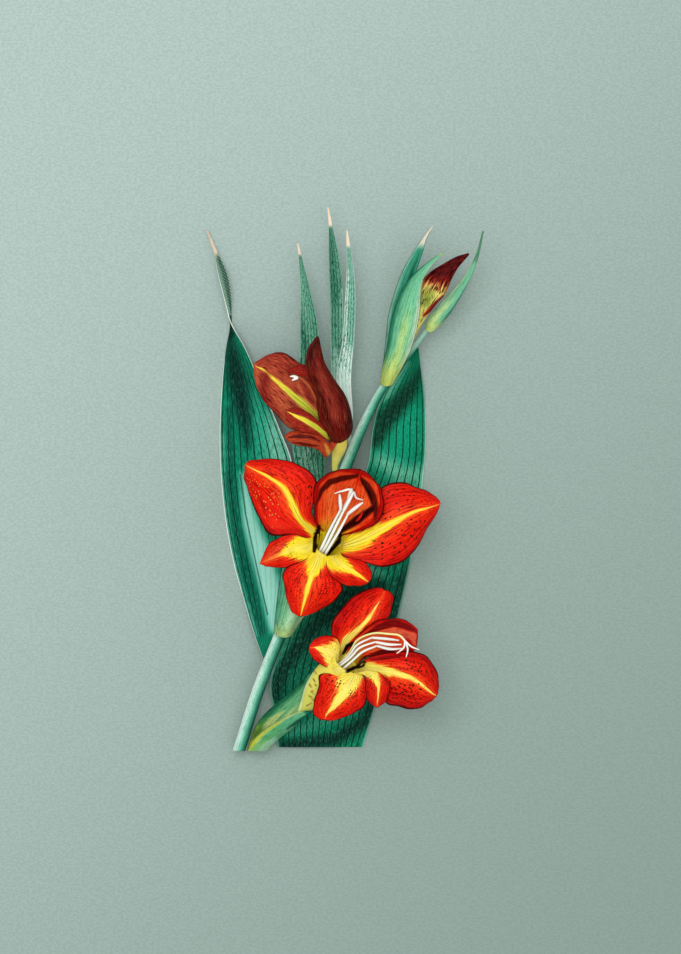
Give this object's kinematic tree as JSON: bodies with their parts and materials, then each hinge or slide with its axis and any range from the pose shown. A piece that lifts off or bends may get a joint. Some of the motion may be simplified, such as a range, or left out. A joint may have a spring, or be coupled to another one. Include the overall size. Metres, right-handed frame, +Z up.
{
  "type": "cut gladiolus",
  "caption": "Cut gladiolus stem lying down, with open scarlet flowers, a half-open flower, a bud, green bracts and long leaves.",
  "frame": {"origin": "on the surface that the stem lies on, below the middle of the whole", "axes": "+X right, +Y from the cut end towards the leaf tips, +Z up, the way the flowers face"},
  "size_m": [0.1113, 0.2186, 0.0517],
  "materials": {
    "stem": "smooth, satin, pale mint to teal green",
    "leaf": "parallel-veined, satin, deep teal green with pale margins",
    "bract": "smooth, satin green with yellow-green bases",
    "tepal": "velvety scarlet with a yellow stripe and dark speckles",
    "half_open_tepal": "velvety maroon and brick red with a yellow stripe",
    "bud": "furled, maroon over pale yellow",
    "filament": "smooth, white with grey-green edges",
    "anther": "powdery off-white",
    "style": "smooth, pale yellow-green",
    "ovary": "smooth, yellow-green"
  },
  "bodies": {
    "root": {"stem": "stem", "leaf_left": "leaf", "leaf_right": "leaf", "leaf_centre_left": "leaf", "leaf_centre": "leaf", "leaf_centre_right": "leaf", "upper_perianth": "tepal", "lower_perianth": "tepal", "half_open_perianth": "half_open_tepal", "upper_style": "style", "lower_style": "style", "half_open_style": "style", "upper_ovary": "ovary", "lower_ovary": "ovary", "bud": "bud", "upper_bract_outer": "bract", "upper_bract_inner": "bract", "lower_bract_outer": "bract", "lower_bract_inner": "bract", "bud_bract_outer": "bract", "bud_bract_inner": "bract", "tip_bract": "bract", "upper_filament_1": "filament", "upper_anther_1": "anther", "upper_filament_2": "filament", "upper_anther_2": "anther", "upper_filament_3": "filament", "upper_anther_3": "anther", "lower_filament_1": "filament", "lower_anther_1": "anther", "lower_filament_2": "filament", "lower_anther_2": "anther", "lower_filament_3": "filament", "lower_anther_3": "anther"}
  },
  "joints": []
}
